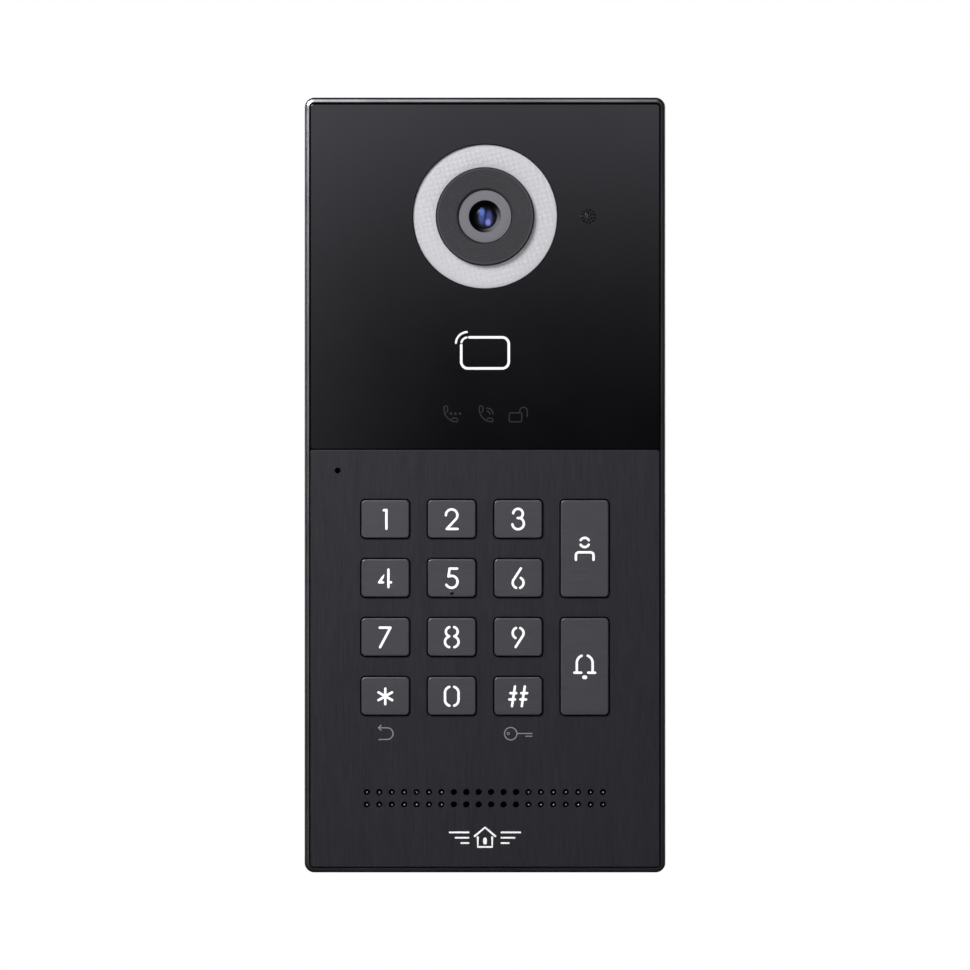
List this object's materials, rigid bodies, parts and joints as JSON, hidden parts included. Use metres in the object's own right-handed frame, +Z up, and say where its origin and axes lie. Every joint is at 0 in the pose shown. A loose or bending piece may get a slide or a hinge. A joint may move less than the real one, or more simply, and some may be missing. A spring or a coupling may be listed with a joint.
{
  "type": "door intercom panel",
  "caption": "Surface-mounted door intercom panel with camera, black glass card-reader window, metal keypad, call keys, speaker and microphone, hung on a steel wall bracket.",
  "frame": {"origin": "middle of the wall bracket's back face, on the wall", "axes": "+X to the visitor's right, +Z up, +Y from the visitor into the wall, so the face points along -Y"},
  "size_m": [0.088, 0.034, 0.189],
  "materials": {
    "frame_metal": "cast, dark grey anodised, satin, polished edge line",
    "brushed_metal": "brushed vertically, black anodised",
    "black_glass": "glossy, black printed on its back",
    "diffuser": "frosted white, fine prism texture",
    "hood_plastic": "fine concentric grooves",
    "ring_metal": "fine blasted, grey anodised",
    "lens_glass": "polished with a blue coating",
    "clear_plastic": "clear moulded",
    "circuit_board": "green solder mask",
    "rubber": "black, matte",
    "housing_plastic": "fine moulded grain",
    "bracket_steel": "zinc plated sheet",
    "screw_steel": "plated",
    "key_metal": "brushed across, dark anodised",
    "legend": "white translucent",
    "black_plastic": "black moulded",
    "terminal_plastic": "green moulded"
  },
  "bodies": {
    "wall_bracket": {"wall_bracket": "bracket_steel", "lock_screw": "screw_steel"},
    "station": {"front_frame": "frame_metal", "brushed_plate": "brushed_metal", "glass_window": "black_glass", "card_antenna": "circuit_board", "status_light_guide": "clear_plastic", "keypad_board": "circuit_board", "keypad_membrane": "rubber", "main_board": "circuit_board", "housing_seal": "rubber", "rear_housing": "housing_plastic", "fill_light_diffuser": "diffuser", "fill_light_board": "circuit_board", "lens_hood": "hood_plastic", "lens_ring": "ring_metal", "lens_barrel": "black_plastic", "front_lens": "lens_glass", "camera_board": "circuit_board", "light_sensor_pipe": "clear_plastic", "microphone_boot": "rubber", "speaker_frame": "black_plastic", "speaker_cone": "black_plastic", "bay_seal": "rubber", "network_jack": "black_plastic", "terminal_block": "terminal_plastic", "tamper_switch": "black_plastic", "housing_screw_1": "screw_steel", "housing_screw_2": "screw_steel", "housing_screw_3": "screw_steel", "housing_screw_4": "screw_steel"},
    "tamper_plunger": {"tamper_plunger": "black_plastic"},
    "key_1": {"key_1_cap": "key_metal", "key_1_carrier": "legend"},
    "key_2": {"key_2_cap": "key_metal", "key_2_carrier": "legend"},
    "key_3": {"key_3_cap": "key_metal", "key_3_carrier": "legend"},
    "key_4": {"key_4_cap": "key_metal", "key_4_carrier": "legend"},
    "key_5": {"key_5_cap": "key_metal", "key_5_carrier": "legend"},
    "key_6": {"key_6_cap": "key_metal", "key_6_carrier": "legend"},
    "key_7": {"key_7_cap": "key_metal", "key_7_carrier": "legend"},
    "key_8": {"key_8_cap": "key_metal", "key_8_carrier": "legend"},
    "key_9": {"key_9_cap": "key_metal", "key_9_carrier": "legend"},
    "key_star": {"key_star_cap": "key_metal", "key_star_carrier": "legend"},
    "key_0": {"key_0_cap": "key_metal", "key_0_carrier": "legend"},
    "key_hash": {"key_hash_cap": "key_metal", "key_hash_carrier": "legend"},
    "key_person": {"key_person_cap": "key_metal", "key_person_carrier": "legend"},
    "key_bell": {"key_bell_cap": "key_metal", "key_bell_carrier": "legend"}
  },
  "joints": [
    {"name": "station_lift", "type": "slide", "parent": "wall_bracket", "child": "station", "axis": [0, 0, 1], "range_m": [0, 0.0075]},
    {"name": "key_1_press", "type": "slide", "parent": "station", "child": "key_1", "axis": [0, 1, 0], "range_m": [0, 0.0008], "stiffness_N_per_m": 1500, "springref_m": -0.0005},
    {"name": "key_2_press", "type": "slide", "parent": "station", "child": "key_2", "axis": [0, 1, 0], "range_m": [0, 0.0008], "stiffness_N_per_m": 1500, "springref_m": -0.0005},
    {"name": "key_3_press", "type": "slide", "parent": "station", "child": "key_3", "axis": [0, 1, 0], "range_m": [0, 0.0008], "stiffness_N_per_m": 1500, "springref_m": -0.0005},
    {"name": "key_4_press", "type": "slide", "parent": "station", "child": "key_4", "axis": [0, 1, 0], "range_m": [0, 0.0008], "stiffness_N_per_m": 1500, "springref_m": -0.0005},
    {"name": "key_5_press", "type": "slide", "parent": "station", "child": "key_5", "axis": [0, 1, 0], "range_m": [0, 0.0008], "stiffness_N_per_m": 1500, "springref_m": -0.0005},
    {"name": "key_6_press", "type": "slide", "parent": "station", "child": "key_6", "axis": [0, 1, 0], "range_m": [0, 0.0008], "stiffness_N_per_m": 1500, "springref_m": -0.0005},
    {"name": "key_7_press", "type": "slide", "parent": "station", "child": "key_7", "axis": [0, 1, 0], "range_m": [0, 0.0008], "stiffness_N_per_m": 1500, "springref_m": -0.0005},
    {"name": "key_8_press", "type": "slide", "parent": "station", "child": "key_8", "axis": [0, 1, 0], "range_m": [0, 0.0008], "stiffness_N_per_m": 1500, "springref_m": -0.0005},
    {"name": "key_9_press", "type": "slide", "parent": "station", "child": "key_9", "axis": [0, 1, 0], "range_m": [0, 0.0008], "stiffness_N_per_m": 1500, "springref_m": -0.0005},
    {"name": "key_star_press", "type": "slide", "parent": "station", "child": "key_star", "axis": [0, 1, 0], "range_m": [0, 0.0008], "stiffness_N_per_m": 1500, "springref_m": -0.0005},
    {"name": "key_0_press", "type": "slide", "parent": "station", "child": "key_0", "axis": [0, 1, 0], "range_m": [0, 0.0008], "stiffness_N_per_m": 1500, "springref_m": -0.0005},
    {"name": "key_hash_press", "type": "slide", "parent": "station", "child": "key_hash", "axis": [0, 1, 0], "range_m": [0, 0.0008], "stiffness_N_per_m": 1500, "springref_m": -0.0005},
    {"name": "key_person_press", "type": "slide", "parent": "station", "child": "key_person", "axis": [0, 1, 0], "range_m": [0, 0.0008], "stiffness_N_per_m": 1500, "springref_m": -0.0005},
    {"name": "key_bell_press", "type": "slide", "parent": "station", "child": "key_bell", "axis": [0, 1, 0], "range_m": [0, 0.0008], "stiffness_N_per_m": 1500, "springref_m": -0.0005},
    {"name": "tamper_release", "type": "slide", "parent": "station", "child": "tamper_plunger", "axis": [0, 1, 0], "range_m": [0, 0.002], "stiffness_N_per_m": 150, "springref_m": 0.003}
  ]
}
